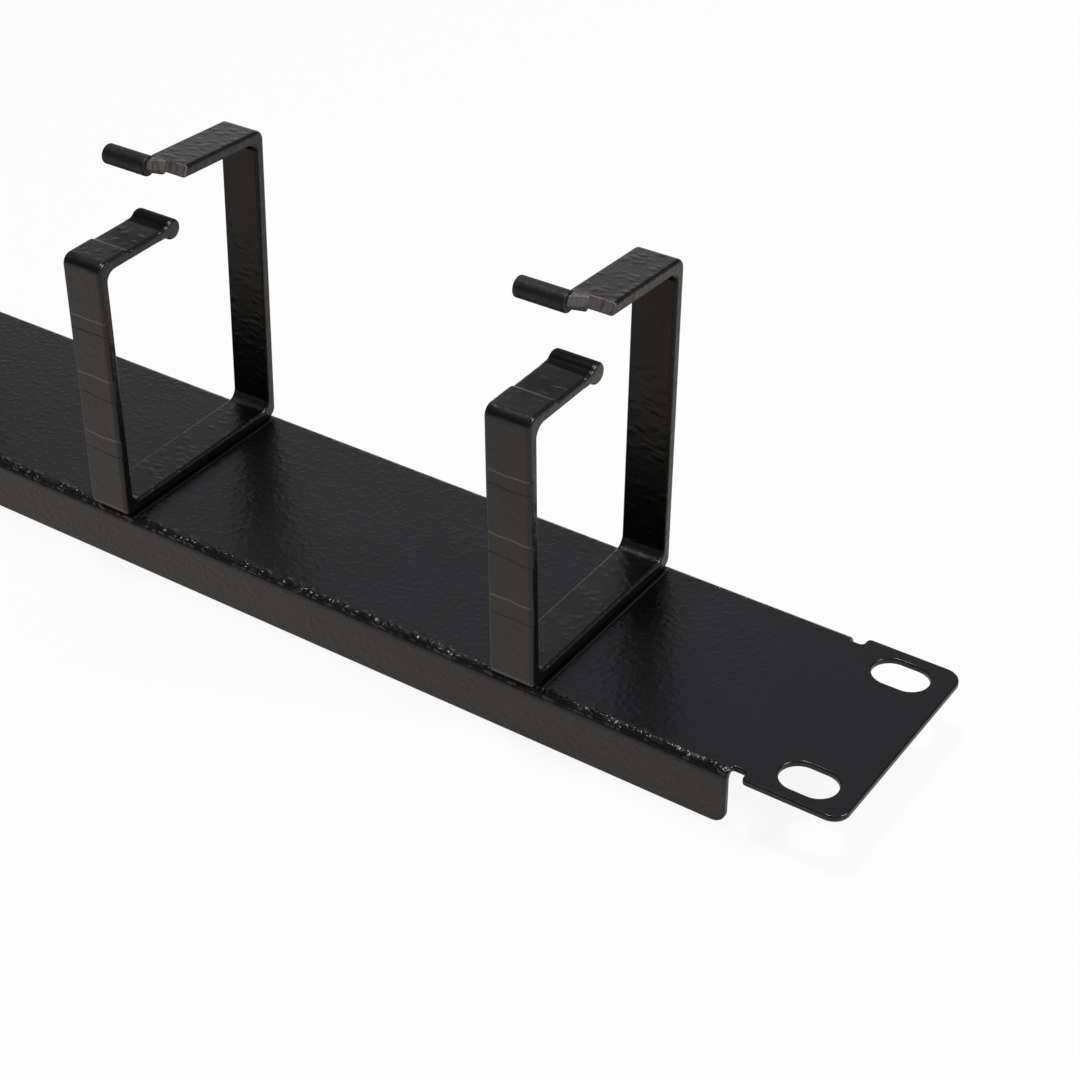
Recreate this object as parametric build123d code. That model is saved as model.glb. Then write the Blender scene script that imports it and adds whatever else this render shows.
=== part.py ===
from build123d import *
import math
import os

# A 19-inch, one-unit cable management panel, lying face up on its flanges. Sizes are in millimetres.
# X runs along the panel, Y from its front edge to its rear edge, and Z out of its face.
# The origin is the centre of the rack slots, on the back of the ears.

# Rack slots in the ears, long way along the panel.
slot_length = 10.0
slot_width = 7.0
slot_spacing_along = 465.1
slot_spacing_across = 31.75

# Faceplate: one punched steel sheet with both long edges folded back. Its outline is placed from the
# slots: the margins run from the slots' centres to the panel's ends and to its long edges.
slot_end_margin = 8.75
slot_edge_margin = 5.925
sheet_thickness = 1.2
fold_inside_radius = 0.9
flange_depth = 11.0
flange_corner_radius = 2.4
ear_length = 20.2
ear_corner_radius = 3.0

# A relief notch parts each end of a fold from the ear, and reaches in to where the fold starts.
relief_width = 2.6
relief_corner_radius = 0.8

# Hooks: flat strip with rolled edges, bent into an open ring that stands across the face.
hook_count = 5
hook_end_margin = 40.7
strip_width = 8.8
strip_thickness = 2.4
strip_edge_radius = 0.7
outer_corner_radius = 2.0
inner_corner_radius = 2.0
front_overhang = 0.7
rear_setback = 0.5
front_lean = 0.6
rear_lean = 1.8
front_height = 53.4
rear_height = 61.4
rear_arm_rise = 3.6

# The front arm is pressed a little thinner from a step near its corner to its end.
press_depth = 0.4
press_start = 7.6
press_ramp = 0.5

# The gate where cables pass is between the two arm ends, placed from the panel's centreline.
front_pin_offset = -3.2
rear_tip_offset = 0.95
bevel_run = 0.7

# Round pins welded to the arm ends. The rear pin's weld is a short nugget along the sheared end.
pin_diameter = 3.9
pin_chamfer = 0.3
weld_setdown = 0.2
bead_slope = 20.0
rear_pin_length = 10.0
rear_pin_lap = 1.05
rear_pin_rise = 0.55
nugget_diameter = 2.4
nugget_length = 2.8
nugget_chamfer = 0.6

# What follows from the sizes above. The margin of the end hooks is from the ends of the flanges.
panel_length = slot_spacing_along + 2 * slot_end_margin
panel_height = slot_spacing_across + 2 * slot_edge_margin
flange_length = panel_length - 2 * ear_length
hook_pitch = (flange_length - 2 * hook_end_margin) / (hook_count - 1)
pin_radius = pin_diameter / 2
nugget_radius = nugget_diameter / 2
fold_outside_radius = fold_inside_radius + sheet_thickness
flat_half_width = panel_height / 2 - fold_outside_radius
flange_free_edge = sheet_thickness - flange_depth


def outline(corners):
    """A flat face from corners of (first, second, corner radius), taken in order."""
    points = [(first, second) for first, second, radius in corners]
    radii = [radius for first, second, radius in corners]
    return make_face(FilletPolyline(*points, radius=radii, close=True).edges())


def at_height(edges, height):
    """Those of the edges that lie flat at one height."""
    return edges.filter_by_position(Axis.Z, height, height)


def folded_sheet():
    """The channel without its ears: the flat web, the two folds and the two flanges."""
    web = extrude(Rectangle(flange_length, panel_height), sheet_thickness)
    flange = extrude(Rectangle(flange_length, sheet_thickness), flange_free_edge)
    inset = (panel_height - sheet_thickness) / 2
    channel = web + Pos(0, inset, 0) * flange + Pos(0, -inset, 0) * flange
    channel = fillet(at_height(channel.edges().filter_by(Axis.X), sheet_thickness), fold_outside_radius)
    channel = fillet(at_height(channel.edges().filter_by(Axis.X), 0), fold_inside_radius)
    return fillet(at_height(channel.edges().filter_by(Axis.Y), flange_free_edge), flange_corner_radius)


def right_ear():
    """The ear seen from the front, from the end of the flanges out to the panel's end."""
    root = flange_length / 2
    shoulder = root + relief_width
    tip = panel_length / 2
    edge = panel_height / 2
    upper_half = [
        (tip, edge, ear_corner_radius),
        (shoulder, edge, relief_corner_radius),
        (shoulder, flat_half_width, relief_corner_radius),
        (root, flat_half_width, 0),
    ]
    lower_half = [(x, -y, radius) for x, y, radius in reversed(upper_half)]
    return extrude(outline(lower_half + upper_half), sheet_thickness)


def faceplate():
    """The folded sheet with its two ears and their four rack slots."""
    ear = right_ear()
    plate = folded_sheet() + ear + mirror(ear, about=Plane.YZ)
    slot = extrude(SlotOverall(slot_length, slot_width), sheet_thickness)
    places = GridLocations(slot_spacing_along, slot_spacing_across, 2, 2)
    return plate - [place * slot for place in places]


def direction(degrees_from_y):
    """A unit vector in the side view, turned from the +Y direction towards +Z."""
    turn = math.radians(degrees_from_y)
    return Vector(math.cos(turn), math.sin(turn))


def crossing(run_a, run_b):
    """Where two straight runs of the strip's side view meet. A run is a point and a direction."""
    (start, heading), (other, other_heading) = run_a, run_b
    along = (other - start).cross(other_heading).Z / heading.cross(other_heading).Z
    return start + heading * along


def inside_of(run):
    """The same run on the strip's inner face, which is on the left of the way it is followed."""
    start, heading = run
    return start + Vector(-heading.Y, heading.X) * strip_thickness, heading


# The strip's outer face in the side view, with the panel's face at height 0. It is followed from the
# front arm's end, down the front leg, along the foot, up the rear leg and out along the rear arm.
front_face = -panel_height / 2 - front_overhang
rear_face = panel_height / 2 - rear_setback
front_arm = (Vector(0, front_height), direction(180))
front_leg = (Vector(front_face, 0), direction(-90 + front_lean))
foot = (Vector(0, 0), direction(0))
rear_leg = (Vector(rear_face, 0), direction(90 - rear_lean))
rear_corner = crossing(rear_leg, (Vector(0, rear_height), direction(0)))
rear_arm = (rear_corner, direction(180 - rear_arm_rise))
runs = [front_arm, front_leg, foot, rear_leg, rear_arm]

# The front pin lies across the middle of the pressed arm's end.
pressed_top = front_height - press_depth
front_pin_centre = Vector(front_pin_offset, (pressed_top + front_height - strip_thickness) / 2)
front_arm_end = front_pin_offset - pin_radius + weld_setdown

# The rear arm's end is sheared on a slight bevel, and the rear pin's nugget lies across the bevel.
bevel_top = crossing(rear_arm, (Vector(rear_tip_offset + bevel_run, 0), direction(90)))
bevel_tip = crossing(inside_of(rear_arm), (Vector(rear_tip_offset, 0), direction(90)))
bevel_up = (bevel_top - bevel_tip).normalized()
bevel_out = Vector(-bevel_up.Y, bevel_up.X)
rear_pin_centre = bevel_tip + bevel_up * rear_pin_rise + bevel_out * (nugget_radius - weld_setdown)


def hook_side_view():
    """The bent strip seen from the side, before its front arm is pressed."""
    inner_runs = [inside_of(run) for run in runs]
    outer_bends = [crossing(a, b) for a, b in zip(runs, runs[1:])]
    inner_bends = [crossing(a, b) for a, b in zip(inner_runs, inner_runs[1:])]
    corners = [(front_arm_end, front_height - strip_thickness, 0), (front_arm_end, front_height, 0)]
    corners += [(bend.X, bend.Y, outer_corner_radius) for bend in outer_bends]
    corners += [(bevel_top.X, bevel_top.Y, 0), (bevel_tip.X, bevel_tip.Y, 0)]
    corners += [(bend.X, bend.Y, inner_corner_radius) for bend in reversed(inner_bends)]
    return Plane.YZ * outline(corners)


def pressed_away():
    """What the press takes off the front arm's top, from its step to past the arm's end."""
    step = crossing(front_arm, front_leg).X + press_start
    corners = [
        (step, front_height, 0),
        (step + press_ramp, pressed_top, 0),
        (front_pin_offset, pressed_top, 0),
        (front_pin_offset, front_height, 0),
    ]
    return extrude(Plane.YZ * outline(corners), strip_width / 2, both=True)


def face_at(solid, point):
    """The solid's face that a point of the side view lies on."""
    return solid.faces().sort_by_distance(Vector(0, point.X, point.Y))[0]


def hook():
    """One bent strip, centred on X = 0 with its foot on the height Z = 0."""
    strip = extrude(hook_side_view(), strip_width / 2, both=True)
    front_end = face_at(strip, Vector(front_arm_end, front_height - strip_thickness / 2))
    rear_end = face_at(strip, (bevel_top + bevel_tip) / 2)
    long_edges = strip.faces().filter_by(Axis.X).edges() - front_end.edges() - rear_end.edges()
    return fillet(long_edges, strip_edge_radius) - pressed_away()


def bar(centre, radius, start, end, end_chamfer):
    """A round bar along X at a point of the side view, with its two ends chamfered."""
    section = Plane.YZ.offset(start) * Pos(centre.X, centre.Y) * Circle(radius)
    solid = extrude(section, end - start)
    return chamfer(solid.edges().filter_by(GeomType.CIRCLE), end_chamfer)


def front_pin(strip):
    """The bar across the front arm's end, with the weld bead that runs up to it on the arm's top."""
    half = strip_width / 2
    pin = bar(front_pin_centre, pin_radius, -half, half, pin_chamfer)
    bead_top = front_pin_centre + direction(90 + bead_slope) * pin_radius
    bead_foot = crossing((bead_top, direction(bead_slope)), (Vector(0, pressed_top), direction(0)))
    points = [front_pin_centre, bead_top, bead_foot]
    section = Plane.YZ * outline([(point.X, point.Y, 0) for point in points])
    bead = extrude(section, half - strip_edge_radius, both=True)
    return pin + bead - strip


def rear_pin(strip):
    """The bar that points along -X from the rear arm's end, with the nugget that joins it to the bevel."""
    seat = -strip_width / 2 + rear_pin_lap
    pin = bar(rear_pin_centre, pin_radius, seat - rear_pin_length, seat, pin_chamfer)
    nugget = bar(rear_pin_centre, nugget_radius, seat - nugget_chamfer, seat + nugget_length, nugget_chamfer)
    return pin + nugget - strip


def write(solid, node):
    """One STEP file for each piece, named as the piece is."""
    export_step(solid, f"parts/{node}.step")


os.makedirs("parts", exist_ok=True)
write(faceplate(), "panel")
strip = hook()
strip_front_pin = front_pin(strip)
strip_rear_pin = rear_pin(strip)
for index in range(hook_count):
    number = index + 1
    place = Pos((index - (hook_count - 1) / 2) * hook_pitch, 0, sheet_thickness)
    write(place * strip, f"hook_{number}")
    write(place * strip_front_pin, f"front_pin_{number}")
    write(place * strip_rear_pin, f"rear_pin_{number}")
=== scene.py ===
import math

import bmesh
import bpy
from mathutils import Euler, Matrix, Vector
from mathutils.geometry import tessellate_polygon


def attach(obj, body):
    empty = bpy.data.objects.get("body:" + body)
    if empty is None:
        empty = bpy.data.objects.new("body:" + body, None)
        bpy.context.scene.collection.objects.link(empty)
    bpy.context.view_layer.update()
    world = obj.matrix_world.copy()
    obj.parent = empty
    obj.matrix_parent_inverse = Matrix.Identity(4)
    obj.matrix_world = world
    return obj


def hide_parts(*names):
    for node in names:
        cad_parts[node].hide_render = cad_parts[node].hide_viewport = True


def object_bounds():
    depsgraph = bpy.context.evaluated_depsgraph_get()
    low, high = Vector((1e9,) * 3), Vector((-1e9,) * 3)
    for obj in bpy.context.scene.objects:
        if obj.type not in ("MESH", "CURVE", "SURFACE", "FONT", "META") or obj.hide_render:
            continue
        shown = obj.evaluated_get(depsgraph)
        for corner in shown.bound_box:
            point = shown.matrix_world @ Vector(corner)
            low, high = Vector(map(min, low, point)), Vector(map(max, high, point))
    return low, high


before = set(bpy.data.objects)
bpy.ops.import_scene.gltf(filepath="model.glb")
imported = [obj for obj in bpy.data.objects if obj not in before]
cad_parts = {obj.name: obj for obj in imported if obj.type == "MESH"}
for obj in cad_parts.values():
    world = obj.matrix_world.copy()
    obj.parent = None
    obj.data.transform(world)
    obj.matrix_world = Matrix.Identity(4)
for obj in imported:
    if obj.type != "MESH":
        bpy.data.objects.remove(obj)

cad_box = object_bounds()

# The faceplate: one steel sheet, punched flat with its rack slots and relief notches, then both
# long edges folded back into flanges. The flat blank is made first and its edges are bent here too.
# Sizes are in millimetres, which MM turns to metres. X runs along the panel, and Z out of its face.
MM = 0.001
sheet = 1.2
fold_inside = 0.9
web_half = 19.7
ear_half = 21.8
flange_end = 221.1
notch_end = 223.7
panel_end = 241.3
flange_drop = 8.9
flange_corner = 2.4
fold_corner = 0.5
notch_corner = 0.8
ear_corner = 3.0
sheet_rim = 0.32
slot_along = 465.1 / 2
slot_across = 31.75 / 2
slot_half_length = 5.0
slot_half_width = 3.5
slot_steps = 48
fold_steps = 16
same_point = 1e-5
sharp_degrees = 50

# The bend is measured along the middle of the sheet.
fold_middle = fold_inside + sheet / 2
fold_arc = fold_middle * math.pi / 2
blank_half = web_half + fold_arc + flange_drop


def rounded(corners, steps=10):
    """Points of an outline or a line whose corners (a, b, radius) are rounded off."""
    points = []
    for index, (a, b, radius) in enumerate(corners):
        corner = Vector((a, b))
        if not radius:
            points.append(corner)
            continue
        back = (Vector(corners[index - 1][:2]) - corner).normalized()
        ahead = (Vector(corners[(index + 1) % len(corners)][:2]) - corner).normalized()
        half = back.angle(ahead) / 2
        centre = corner + (back + ahead).normalized() * radius / math.sin(half)
        first = corner + back * radius / math.tan(half) - centre
        last = corner + ahead * radius / math.tan(half) - centre
        start = math.atan2(first.y, first.x)
        turn = (math.atan2(last.y, last.x) - start + math.pi) % (2 * math.pi) - math.pi
        for step in range(steps + 1):
            angle = start + turn * step / steps
            points.append(centre + Vector((math.cos(angle), math.sin(angle))) * radius)
    return points


def inset(points, depth):
    """The outline moved to its left, which is into the metal."""
    moved = []
    for index, point in enumerate(points):
        before = (point - points[index - 1]).normalized()
        after = (points[(index + 1) % len(points)] - point).normalized()
        square = Vector((-before.y, before.x))
        left = (square + Vector((-after.y, after.x))).normalized()
        moved.append(point + left * depth / left.dot(square))
    return moved


def plate(loops, thickness, rim, steps=4):
    """A plate with rounded rims from flat outlines, the outer one counter-clockwise and holes clockwise."""
    side = []
    for step in range(steps + 1):
        turn = math.pi / 2 * step / steps
        side.append((rim * (1 - math.sin(turn)), rim * (1 - math.cos(turn))))
    side += [(depth, thickness - height) for depth, height in reversed(side)]
    mesh = bmesh.new()
    faces = [[], []]
    for loop in loops:
        rings = []
        for depth, height in side:
            rings.append([mesh.verts.new((*point, height)) for point in inset(loop, depth)])
        for low, high in zip(rings, rings[1:]):
            for index in range(len(low)):
                mesh.faces.new((low[index - 1], low[index], high[index], high[index - 1]))
        faces[0].append(rings[0])
        faces[1].append(rings[-1])
    for rims in faces:
        flat = [vertex for ring in rims for vertex in ring]
        for triangle in tessellate_polygon([[vertex.co for vertex in ring] for ring in rims]):
            mesh.faces.new([flat[corner] for corner in triangle])
    return mesh


def piece(name, mesh):
    """A shown piece from a mesh in millimetres, shaded so that its flats stay flat."""
    bmesh.ops.recalc_face_normals(mesh, faces=mesh.faces)
    bmesh.ops.scale(mesh, vec=(MM, MM, MM), verts=mesh.verts)
    data = bpy.data.meshes.new(name)
    mesh.to_mesh(data)
    mesh.free()
    shown = bpy.data.objects.new(name, data)
    bpy.context.scene.collection.objects.link(shown)
    data.shade_smooth()
    data.set_sharp_from_angle(angle=math.radians(sharp_degrees))
    normals = shown.modifiers.new("flats", "WEIGHTED_NORMAL")
    normals.weight = 100
    normals.keep_sharp = True
    return shown


def slot_outline(x, y):
    """Points around the rack slot centred on (x, y), clockwise, with half-round ends."""
    points = []
    for step in range(slot_steps):
        angle = -2 * math.pi * (step + 0.5) / slot_steps
        end_centre = x + math.copysign(slot_half_length - slot_half_width, math.cos(angle))
        along = end_centre + slot_half_width * math.cos(angle)
        across = y + slot_half_width * math.sin(angle)
        points.append(Vector((along, across)))
    return points


quarter = [
    (flange_end, -blank_half, flange_corner),
    (flange_end, -web_half, fold_corner),
    (notch_end, -web_half, notch_corner),
    (notch_end, -ear_half, notch_corner),
    (panel_end, -ear_half, ear_corner),
]
right_half = quarter + [(x, -y, radius) for x, y, radius in reversed(quarter)]
blank = rounded(right_half + [(-x, -y, radius) for x, y, radius in right_half])
slots = [slot_outline(x, y) for x in (-slot_along, slot_along) for y in (-slot_across, slot_across)]
panel_mesh = plate([blank] + slots, sheet, sheet_rim)

# Cuts along both folds let the blank bend, and then all that lies past a fold's start is bent back.
for step in range(fold_steps + 1):
    cut = web_half + fold_arc * step / fold_steps
    for y in (-cut, cut):
        bmesh.ops.bisect_plane(
            panel_mesh,
            geom=panel_mesh.verts[:] + panel_mesh.edges[:] + panel_mesh.faces[:],
            plane_co=(0, y, 0),
            plane_no=(0, 1, 0),
            dist=same_point,
        )
for vertex in panel_mesh.verts:
    x, y, z = vertex.co
    past = abs(y) - web_half
    if past <= 0 or abs(x) > (flange_end + notch_end) / 2:
        continue
    angle = min(past, fold_arc) / fold_middle
    out = web_half + (fold_inside + z) * math.sin(angle)
    down = (fold_inside + z) * math.cos(angle) - fold_inside - max(past - fold_arc, 0)
    vertex.co = (x, math.copysign(out, y), down)
panel_shown = piece("folded_faceplate", panel_mesh)


class Value:
    """A number, vector or colour on a shader socket. Python arithmetic on a number adds Math nodes."""

    def __init__(self, finish, socket):
        self.finish = finish
        self.socket = socket

    def maths(self, operation, *values):
        """What a Math node makes of the values."""
        return self.finish.node("Math", {"operation": operation}, dict(enumerate(values)))

    def __add__(self, other):
        return self.maths("ADD", self, other)

    def __sub__(self, other):
        return self.maths("SUBTRACT", self, other)

    def __rsub__(self, other):
        return self.maths("SUBTRACT", other, self)

    def __mul__(self, other):
        return self.maths("MULTIPLY", self, other)

    def __abs__(self):
        return self.maths("ABSOLUTE", self)

    __radd__ = __add__
    __rmul__ = __mul__

    def from_multiple(self, spacing):
        """How far the number is from the nearest multiple of the spacing."""
        return self.maths("PINGPONG", self, spacing / 2)

    def rising(self, low, high):
        """A soft step from 0 to 1 as the number goes from low to high."""
        limits = {"Value": self, "From Min": low, "From Max": high}
        return self.finish.node("MapRange", {"interpolation_type": "SMOOTHSTEP"}, limits)

    def band(self, low, full_from, full_to, high):
        """1 where the number is between the middle two limits, and softly down to 0 at the outer two."""
        return self.rising(low, full_from) * (1 - self.rising(full_to, high))

    def along(self, direction):
        """How far a vector goes in one direction."""
        return self.finish.node("VectorMath", {"operation": "DOT_PRODUCT"}, {0: self, 1: direction}, 1)

    def far_from(self, point):
        """How far a place is from a point."""
        return self.finish.node("VectorMath", {"operation": "DISTANCE"}, {0: self, 1: point}, 1)

    def moved(self, shift):
        """A place moved by another vector."""
        return self.finish.node("VectorMath", {"operation": "ADD"}, {0: self, 1: shift})

    def stretched(self, factors):
        """A vector with its three parts multiplied by the factors."""
        return self.finish.node("VectorMath", {"operation": "MULTIPLY"}, {0: self, 1: factors})


class Finish:
    """The nodes of one material or of the world. Each node is set up before it is joined."""

    def __init__(self, owner):
        self.owner = owner
        owner.use_nodes = True
        self.tree = owner.node_tree
        self.tree.nodes.clear()

    def node(self, kind, settings, sockets, output=0):
        """One node of a kind, with its settings and the values or links of its sockets."""
        made = self.tree.nodes.new("ShaderNode" + kind)
        for key, value in settings.items():
            setattr(made, key, value)
        for key, value in sockets.items():
            if isinstance(value, Value):
                self.tree.links.new(value.socket, made.inputs[key])
            else:
                made.inputs[key].default_value = value
        return Value(self, made.outputs[output]) if made.outputs else None

    def noise(self, place, scale, detail=1.0):
        """A cloudy pattern from 0 to 1, with its scale as a count along a metre."""
        look = {"Vector": place, "Scale": scale, "Detail": detail, "Roughness": 0.45}
        return self.node("TexNoise", {}, look)

    def blend(self, factor, first, second):
        """A colour between two, at a factor from 0 to 1."""
        return self.node("Mix", {"data_type": "RGBA"}, {"Factor": factor, 6: first, 7: second}, 2)

    def wear(self, shown):
        """Put this finish on a piece, after those that it has."""
        shown.data.materials.append(self.owner)


# Ways to measure a place on the panel in millimetres.
x_mm = (1 / MM, 0, 0)
y_mm = (0, 1 / MM, 0)
z_mm = (0, 0, 1 / MM)

# The powder coat. Its scales are counts along a metre, and stray is how far its spots wander, in metres.
spot_scale = 680
grain_scale = 1300
drift_scale = 70
stray_scale = 300
stray = 0.0022
spot_round = (0.08, 0.6)
mottled = (0.35, 0.65)
grain_share = 0.6
drift_matt = 0.06
# A lighter colour painted along the seams and the tool marks' upper edges as a highlight.
highlight_tone = (0.022, 0.021, 0.020, 1)
panel_dark = (0.0016, 0.0015, 0.0020)
panel_light = (0.0022, 0.0021, 0.0027)


def powder_coat(name, dark, light, relief, peel, matt, run=(1, 1, 1), sheen=0.5):
    """Black powder coat: a thick cured film with an orange peel of small raised spots, drawn out where
    it ran. Peel is their height in millimetres, relief adds the piece's own marks and where a highlight
    is painted on in a lighter colour, and each part of run under 1 makes the spots longer that way."""
    coat = Finish(bpy.data.materials.new(name))
    place = coat.node("TexCoord", {}, {}, "Object")
    sway = coat.node("TexNoise", {}, {"Vector": place, "Scale": stray_scale, "Detail": 1.0}, 1)
    bent = place.moved(sway.stretched((stray, stray, stray)))
    cells = {"Vector": bent.stretched(run), "Scale": spot_scale, "Smoothness": 0.3}
    spots = 1 - coat.node("TexVoronoi", {"feature": "SMOOTH_F1"}, cells).rising(*spot_round)
    grain = coat.noise(place, grain_scale, detail=2)
    drift = coat.noise(place, drift_scale, detail=2)
    height, painted_highlight = relief(coat, place, spots * peel + grain * (grain_share * peel))
    bump = coat.node("Bump", {}, {"Height": height, "Strength": 1, "Distance": MM})
    tone = coat.blend(drift.rising(*mottled), (*dark, 1), (*light, 1))
    # Painted highlight: the coat turns lighter where the relief's seams and marks would catch the light.
    tone = coat.blend(painted_highlight, tone, highlight_tone)
    rough = matt + drift * drift_matt
    skin = {"Base Color": tone, "Roughness": rough, "Normal": bump, "Specular IOR Level": sheen}
    paint = coat.node("BsdfPrincipled", {}, skin)
    coat.node("OutputMaterial", {}, {"Surface": paint})
    return coat


# Where the panel's coat differs. A seam runs along both sides of each hook's foot, just clear of it.
hook_pitch = 90.2
seam_side = 5.0
seam_crest = 0.05
seam_foot = 0.25
seam_end = (20.6, 21.4)
seam_height = 0.09
fold_start = (web_half + 0.1, web_half + 0.8)
above_flange = (0.1, 0.6)
ear_start = (flange_end + 0.4, notch_end - 0.7)
fold_peel = 6.7
calm_start = (192, 224)
ear_calm = 0.6


def fold_and_seams(coat, place, peeled):
    """A rougher peel along the folds and a calmer one towards the ears, and thin raised lines where the
    coat closes the hooks' seams, with a highlight painted on them in a lighter colour."""
    from_middle = abs(place.along(x_mm))
    from_centreline = abs(place.along(y_mm))
    from_hook = place.along(x_mm).from_multiple(hook_pitch)
    line = from_hook.band(
        seam_side - seam_foot, seam_side - seam_crest, seam_side + seam_crest, seam_side + seam_foot
    )
    seam = line * (1 - from_centreline.rising(*seam_end))
    on_face = place.along(z_mm).rising(*above_flange)
    on_fold = from_centreline.rising(*fold_start) * on_face * (1 - from_middle.rising(*ear_start))
    calm = from_middle.rising(*calm_start) * on_face * ear_calm
    # The seam mask raises the lines and also marks where the painted highlight goes.
    return peeled * (1 - calm + on_fold * fold_peel) + seam * seam_height, seam


panel_coat = powder_coat(
    "panel_powder_coat", panel_dark, panel_light, fold_and_seams, peel=0.032, matt=0.25
)
panel_coat.wear(panel_shown)
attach(panel_shown, "root")
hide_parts("panel")


# The cable hooks: flat strip with rolled edges, bent square into an open ring and welded by its foot
# to the face. The front arm is pressed thinner behind its corner and rises in a smooth hollow to its
# pin. The rear arm's end is sheared on a bevel, and the front leg keeps three marks of the bending tool.
hook_count = 5
strip_thick = 2.4
strip_half = 4.4
strip_edge = 0.7
bend = 2.0
end_roll = 0.4
end_steps = 5
sheltered_from = sheet + 4.3
arm_end = -5.6
arm_under = 51.0
pressed_top = 53.0
arm_top = 53.4
press_from = -14.7
press_to = -15.8
press_steps = 8
plain_from = -16.2

# The strip's two faces seen from the side, from the front arm round to the rear arm's sheared end.
# Each corner is a distance from the centreline, a height off the panel's face and a bend radius.
outer_corners = [
    (plain_from, arm_top, 0),
    (-23.059, arm_top, bend),
    (-22.5, 0.0, bend),
    (21.3, 0.0, bend),
    (23.2295, 61.4, bend),
    (1.65, 62.758, 0),
]
inner_corners = [
    (plain_from, arm_under, 0),
    (-20.634, arm_under, bend),
    (-20.125, strip_thick, bend),
    (18.974, strip_thick, bend),
    (20.797, 59.154, bend),
    (0.95, 60.397, 0),
]


def inward(line, side):
    """The way into the metal at each point of a line, on its left (1) or on its right (-1)."""
    steps = [(ahead - point).normalized() for point, ahead in zip(line, line[1:])]
    ways = []
    for before, after in zip([steps[0]] + steps, steps + [steps[-1]]):
        way = (before + after).normalized()
        ways.append(Vector((-way.y, way.x)) * side)
    return ways


def strip_ring(mesh, faces, x, shrink=0.0, steps=6):
    """Vertices around the strip. Each of the two faces is a point and the way into the metal."""
    outer, inner = faces
    roll = strip_edge - shrink
    ring = []
    for number, (side, (point, way)) in enumerate(((-1, outer), (1, outer), (1, inner), (-1, inner))):
        for step in range(steps + 1):
            turn = math.pi / 2 * (step if number % 2 else steps - step) / steps
            place = point + way * (shrink + roll * (1 - math.cos(turn)))
            across = side * (strip_half - strip_edge + roll * math.sin(turn))
            ring.append(mesh.verts.new((x + across, place.x, sheet + place.y)))
    return ring


arm_line = [Vector((arm_end, pressed_top))]
for step in range(press_steps + 1):
    share = step / press_steps
    height = pressed_top + (arm_top - pressed_top) * share * share * (3 - 2 * share)
    arm_line.append(Vector((press_from + (press_to - press_from) * share, height)))
outer_line = arm_line + rounded(outer_corners)
inner_line = [Vector((point.x, arm_under)) for point in arm_line] + rounded(inner_corners)
outer_faces = list(zip(outer_line, inward(outer_line, 1)))
inner_faces = list(zip(inner_line, inward(inner_line, -1)))


def strip_mesh(x):
    """The bent strip centred on x. Its sheared end takes the second material, its inner faces the third."""
    mesh = bmesh.new()
    rings = [strip_ring(mesh, faces, x) for faces in list(zip(outer_faces, inner_faces))[:-1]]
    body = len(rings)
    for step in range(end_steps + 1):
        turn = math.pi / 2 * step / end_steps
        faces = []
        for line, (point, way) in ((outer_line, outer_faces[-1]), (inner_line, inner_faces[-1])):
            back = (line[-2] - line[-1]).normalized() * end_roll * (1 - math.sin(turn))
            faces.append((point + back, way))
        rings.append(strip_ring(mesh, faces, x, end_roll * (1 - math.cos(turn))))
    for number, (low, high) in enumerate(zip(rings, rings[1:])):
        for index in range(len(low)):
            face = mesh.faces.new((low[index - 1], low[index], high[index], high[index - 1]))
            if number >= body + 1:
                face.material_index = 1
            elif index > len(low) / 2 and min(low[index].co.z, high[index].co.z) > sheltered_from:
                face.material_index = 2
    mesh.faces.new(rings[0])
    mesh.faces.new(rings[-1]).material_index = 1
    return mesh


# The three marks, each from one height to another. Their edges wander, and a painted highlight lies along
# the upper edge of each.
marks = ((40.6, 42.8), (26.9, 30.6), (15.1, 18.1))
mark_depth = 0.1
mark_edge = 0.45
mark_highlight = (-0.1, 0.1, 0.3, 0.6)
mark_wander = 0.8
wander_scale = 150
leg_skin = (21.9, 22.2)
leg_calm = 0.55
dressed_place = (0, -4.6, 54.2)
dressed_reach = (3.6, 5.2)
dressed_calm = 0.8


def tool_marks(coat, place, peeled):
    """Three shallow bands that the bending tool left across the front leg's outer face, each with a painted
    highlight along its upper edge. The peel is calmer on that face, and where the arm is dressed beside its
    pin."""
    wander = coat.noise(place, wander_scale) * (2 * mark_wander) - mark_wander
    level = place.along(z_mm) + wander
    on_leg = (place.along(y_mm) * -1).rising(*leg_skin)
    depth, painted_highlight = 0, 0
    for low, high in marks:
        depth = level.band(low - mark_edge, low, high, high + mark_edge) * -mark_depth + depth
        # Painted highlight: a lighter colour along each mark's upper edge.
        painted_highlight = level.band(*(high + edge for edge in mark_highlight)) + painted_highlight
    from_dressed = place.stretched((0, 1 / MM, 1 / MM)).far_from(dressed_place)
    calm = (1 - from_dressed.rising(*dressed_reach)) * dressed_calm + on_leg * leg_calm
    return peeled * (1 - calm) + depth * on_leg, painted_highlight * on_leg


# The coat ran across the strip as it cured. Less powder reaches the inside of the ring, so the coat is
# drier and duller there.
hook_dark = (0.0017, 0.0018, 0.0016)
hook_light = (0.0023, 0.0024, 0.0021)
outer_run = (0.62, 0.9, 0.9)
inner_run = (0.42, 0.85, 0.85)
hook_coat = powder_coat(
    "hook_powder_coat", hook_dark, hook_light, tool_marks, peel=0.062, matt=0.28, run=outer_run
)
inner_coat = powder_coat(
    "inner_powder_coat", hook_dark, hook_light, tool_marks, peel=0.054, matt=0.3, run=inner_run, sheen=0.3
)

# Painted reflection: the sheared end and its weld are coloured pale to stand for the floor that they
# mirror.
sheared_dark_painted_reflection = (0.072, 0.066, 0.062, 1)
sheared_light_painted_reflection = (0.145, 0.132, 0.126, 1)
streak_scale = 1500
streak_way = (1, 0.6, 0.12)
streak_height = 0.05
sheared_grain_scale = 2200
sheared_grain_height = 0.01


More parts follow.
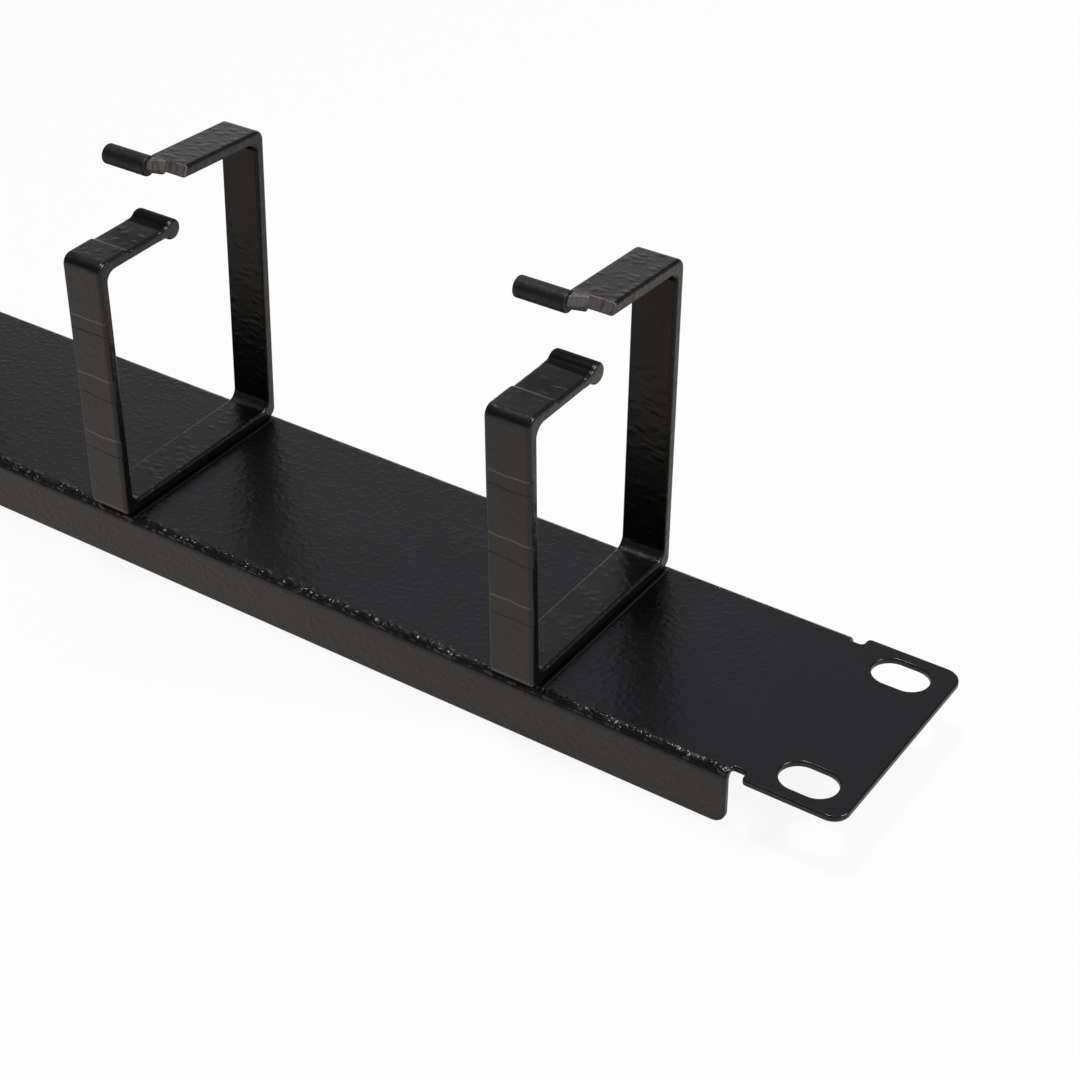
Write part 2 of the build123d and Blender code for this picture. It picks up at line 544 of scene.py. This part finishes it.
def sheared_reflection_coat():
    """The coat on the sheared end and its weld: coloured paler as a painted reflection of the pale floor,
    over upright streaks of the shear.
    """
    coat = Finish(bpy.data.materials.new("sheared_end_painted_reflection"))
    place = coat.node("TexCoord", {}, {}, "Object")
    streaks = coat.noise(place.stretched(streak_way), streak_scale, detail=1.5)
    grain = coat.noise(place, sheared_grain_scale)
    height = streaks * streak_height + grain * sheared_grain_height
    bump = coat.node("Bump", {}, {"Height": height, "Strength": 1, "Distance": MM})
    tone = coat.blend(streaks.rising(*mottled), sheared_dark_painted_reflection, sheared_light_painted_reflection)
    skin = {"Base Color": tone, "Roughness": 0.4, "Normal": bump, "IOR": 1.5}
    paint = coat.node("BsdfPrincipled", {}, skin)
    coat.node("OutputMaterial", {}, {"Surface": paint})
    return coat


def place_of(number):
    """How far along X the middle of a hook is. The hooks are numbered from the left."""
    return (number - (hook_count + 1) / 2) * hook_pitch


end_reflection_coat = sheared_reflection_coat()
for number in range(1, hook_count + 1):
    hook = piece(f"strip_hook_{number}", strip_mesh(place_of(number)))
    hook_coat.wear(hook)
    end_reflection_coat.wear(hook)
    inner_coat.wear(hook)
    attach(hook, "root")
    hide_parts(f"hook_{number}")


# The pins: short round bars welded to the arm ends. The front pin lies across its arm and is filled
# and dressed flush with it. The rear pin points along the panel from a nugget on the sheared end.
# Both have a duller coat than the strip, and it is dullest on the front pin's round side.
pin_radius = 1.95
pin_rim = 0.32
front_pin = Vector((-3.2, 52.0))
front_rim = 0.6
sleeve_start = -7.2
sleeve_full = -6.2
sleeve_gap = 0.01
sleeve_sink = 0.05
hollow_radius = 1.4
hollow_steps = 8
round_steps = 48
rear_pin = Vector((0.148, 61.208))
rear_pin_length = 10.0
rear_pin_lap = 1.05

# The nugget's side view, and the bevel of the sheared end, towards which it tapers along its length.
nugget_length = 2.8
nugget_rim = 0.3
nugget_reach = 0.4
nugget_side = [
    (-0.85, 60.75, 0.5),
    (-0.15, 60.0, 0.4),
    (1.25, 59.98, 0.3),
    (2.0, 60.8, 0.0),
    (1.9, 62.4, 0.0),
    (1.2, 62.62, 0.3),
    (-0.35, 62.5, 0.55),
]
bevel_place = 1.3
bevel_height = 61.58
bevel_slope = 0.296
taper = 0.8
taper_start = 0.6
taper_run = 1.6


def arc(centre, radius, start, end, steps):
    """Points on an arc, from one angle to another in radians."""
    angles = [start + (end - start) * step / steps for step in range(steps + 1)]
    return [centre + Vector((math.cos(angle), math.sin(angle))) * radius for angle in angles]


def turned(centre, outline, x, steps=48):
    """A turned piece along X from (distance, radius) points, closed on its axis at both ends."""
    mesh = bmesh.new()
    rings = []
    for along, radius in outline[1:-1]:
        ring = []
        for step in range(steps):
            angle = 2 * math.pi * step / steps
            y = centre.x + radius * math.cos(angle)
            ring.append(mesh.verts.new((x + along, y, sheet + centre.y + radius * math.sin(angle))))
        rings.append(ring)
    for low, high in zip(rings, rings[1:]):
        for index in range(steps):
            mesh.faces.new((low[index - 1], low[index], high[index], high[index - 1]))
    for ring, along in ((rings[0], outline[0][0]), (rings[-1], outline[-1][0])):
        tip = mesh.verts.new((x + along, centre.x, sheet + centre.y))
        for index in range(steps):
            mesh.faces.new((ring[index - 1], ring[index], tip))
    return mesh


def bar_outline(length, steps=5):
    """The outline of a turned bar with rounded end edges."""
    start = []
    for step in range(steps + 1):
        turn = math.pi / 2 * step / steps
        start.append((pin_rim * (1 - math.cos(turn)), pin_radius - pin_rim * (1 - math.sin(turn))))
    end = [(length - along, radius) for along, radius in reversed(start)]
    return [(0, 0)] + start + end + [(length, 0)]


# Both hollows between the arm and the front pin touch the pin's round side.
rise = hollow_radius + pressed_top + sleeve_gap - front_pin.y
run = math.sqrt((hollow_radius + pin_radius) ** 2 - rise ** 2)
touch = math.atan2(rise, -run)
under_hollow = front_pin - Vector((run, rise))
upper_hollow = front_pin + Vector((-run, rise))
front_side = [Vector((sleeve_start, arm_under + sleeve_sink))]
front_side.append(Vector((sleeve_full, arm_under - sleeve_gap)))
front_side += arc(under_hollow, hollow_radius, math.pi / 2, math.pi - touch, hollow_steps)[:-1]
front_side += arc(front_pin, pin_radius, -touch, touch, round_steps)
front_side += arc(upper_hollow, hollow_radius, touch - math.pi, -math.pi / 2, hollow_steps)[1:]
front_side.append(Vector((sleeve_full, pressed_top + sleeve_gap)))
front_side.append(Vector((sleeve_start, pressed_top - sleeve_sink)))


def front_pin_mesh(middle):
    """The dressed front pin. Its rims and ends take the second material."""
    mesh = plate([front_side], 2 * (strip_half + sleeve_gap), front_rim, steps=6)
    for vertex in mesh.verts:
        y, height, along = vertex.co
        vertex.co = (middle - strip_half - sleeve_gap + along, y, sheet + height)
    for face in mesh.faces:
        face.material_index = int(abs(face.calc_center_median().x - middle) > strip_half / 2)
    return mesh


def nugget_mesh(seat):
    """The weld nugget, which tapers back to the bevel from the rear pin's seat."""
    mesh = plate([rounded(nugget_side, steps=5)], nugget_length + nugget_reach, nugget_rim)
    for vertex in mesh.verts:
        y, height, along = vertex.co
        bevel = bevel_place + (height - bevel_height) * bevel_slope
        share = taper * min(max(along - taper_start, 0) / taper_run, 1)
        vertex.co = (seat - nugget_reach + along, y + max(bevel - y, 0) * share, sheet + height)
    return mesh


rear_pin_coat = powder_coat(
    "rear_pin_powder_coat", hook_dark, hook_light, tool_marks, peel=0.05, matt=0.5
)
front_pin_coat = powder_coat(
    "front_pin_powder_coat", hook_dark, hook_light, tool_marks, peel=0.05, matt=0.48, sheen=0.12
)
for number in range(1, hook_count + 1):
    middle = place_of(number)
    seat = middle - strip_half + rear_pin_lap
    front_bar = piece(f"front_pin_bar_{number}", front_pin_mesh(middle))
    rear_mesh = turned(rear_pin, bar_outline(rear_pin_length), seat - rear_pin_length)
    rear_bar = piece(f"rear_pin_bar_{number}", rear_mesh)
    weld = piece(f"rear_pin_weld_{number}", nugget_mesh(seat))
    for shown, coat in ((front_bar, front_pin_coat), (rear_bar, rear_pin_coat), (weld, end_reflection_coat)):
        coat.wear(shown)
        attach(shown, "root")
    hook_coat.wear(front_bar)
    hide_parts(f"front_pin_{number}")
    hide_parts(f"rear_pin_{number}")


# The studio: a pale floor under the flanges, soft lights overhead and at the right, and a dim
# room with pale areas for the coat to mirror, low at the rear left and high on the left. Its places
# and sizes are in metres.
floor_half = 8
floor_mesh = bmesh.new()
bmesh.ops.create_grid(floor_mesh, x_segments=1, y_segments=1, size=floor_half)
floor_data = bpy.data.meshes.new("floor")
floor_mesh.to_mesh(floor_data)
floor_mesh.free()
floor = bpy.data.objects.new("floor", floor_data)
floor.location.z = cad_box[0].z
bpy.context.scene.collection.objects.link(floor)

floor_tone = (0.8, 0.8, 0.8, 1)
seen_tone = (1, 1, 1, 1)
mirrored_tone = (0.75, 0.692, 0.645, 1)
floor_glow = 0.92
paper = Finish(bpy.data.materials.new("pale_floor"))
seen = paper.node("LightPath", {}, {}, "Is Camera Ray")
mirrored = paper.node("LightPath", {}, {}, "Is Glossy Ray")
through = paper.node("LightPath", {}, {}, "Is Transmission Ray")
lit = paper.node("BsdfDiffuse", {}, {"Color": floor_tone})
tint = paper.blend(mirrored, seen_tone, mirrored_tone)
white = paper.node("Emission", {}, {"Color": tint, "Strength": 1})
unlit = (seen + mirrored + through) * floor_glow
ground = paper.node("MixShader", {}, {0: unlit, 1: lit, 2: white})
paper.node("OutputMaterial", {}, {"Surface": ground})
paper.wear(floor)

# The room's pale areas, each with the way that it lies, how near to that its edge fades, and its level.
# The rest of the room has the dim level.
up = (0, 0, 1)
low_rear_left = (-0.561, 0.801, 0.208)
edge_rear_left = (-0.571, 0.816, 0.087)
left = (-0.966, 0.259, 0)
dim_level = 0.14
low_fade = (0.74, 0.995)
low_level = 0.28
edge_fade = (0.92, 0.975)
edge_level = 0.38
high_fade = (0.62, 0.75)
left_fade = (0.2, 0.5)
high_level = 0.32
low_tone = (1, 0.95, 0.96, 1)
high_tone = (0.94, 0.94, 1.08, 1)
tone_fade = (0.45, 0.7)
bpy.context.scene.world = bpy.data.worlds.new("room")
room = Finish(bpy.context.scene.world)
way = room.node("TexCoord", {}, {}, "Generated")
low_glow = way.along(low_rear_left).rising(*low_fade)
edge_glow = way.along(edge_rear_left).rising(*edge_fade)
high_glow = way.along(up).rising(*high_fade) * way.along(left).rising(*left_fade)
glow = dim_level + low_glow * low_level + edge_glow * edge_level + high_glow * high_level
shade = room.blend(way.along(up).rising(*tone_fade), low_tone, high_tone)
sky = room.node("Background", {}, {"Color": shade, "Strength": glow})
room.node("OutputWorld", {}, {"Surface": sky})

lit_point = Vector((0.14, 0, 0.02))
lamp_distance = 1.2


def soft_light(name, toward, size, power):
    """A square soft light that faces the panel's right half from a direction."""
    lamp = bpy.data.lights.new(name, "AREA")
    lamp.size = size
    lamp.energy = power
    held = bpy.data.objects.new(name, lamp)
    facing = Vector(toward).normalized()
    held.location = lit_point + facing * lamp_distance
    held.rotation_euler = facing.to_track_quat("Z", "Y").to_euler()
    bpy.context.scene.collection.objects.link(held)


soft_light("overhead_soft_light", (-0.1, 0.02, 0.98), size=0.1, power=6)
soft_light("right_soft_light", (0.75, 0.15, 0.62), size=0.3, power=9)

# The camera looks down at the right half of the panel from its front right, through a long lens. The
# lens is shifted, so that the panel runs out of the picture on the left.
camera_data = bpy.data.cameras.new("camera")
camera_data.lens = 80.11
camera_data.sensor_width = 36
camera_data.shift_x = 0.1328
camera_data.shift_y = -0.1682
camera_data.clip_start = 0.01
camera = bpy.data.objects.new("camera", camera_data)
camera.location = (0.35982, -0.28237, 0.25365)
camera.rotation_euler = Euler([math.radians(degrees) for degrees in (59.1033, 1.8411, 36.5914)], "XYZ")
bpy.context.scene.collection.objects.link(camera)
bpy.context.scene.camera = camera
bpy.context.scene.view_settings.view_transform = "Standard"
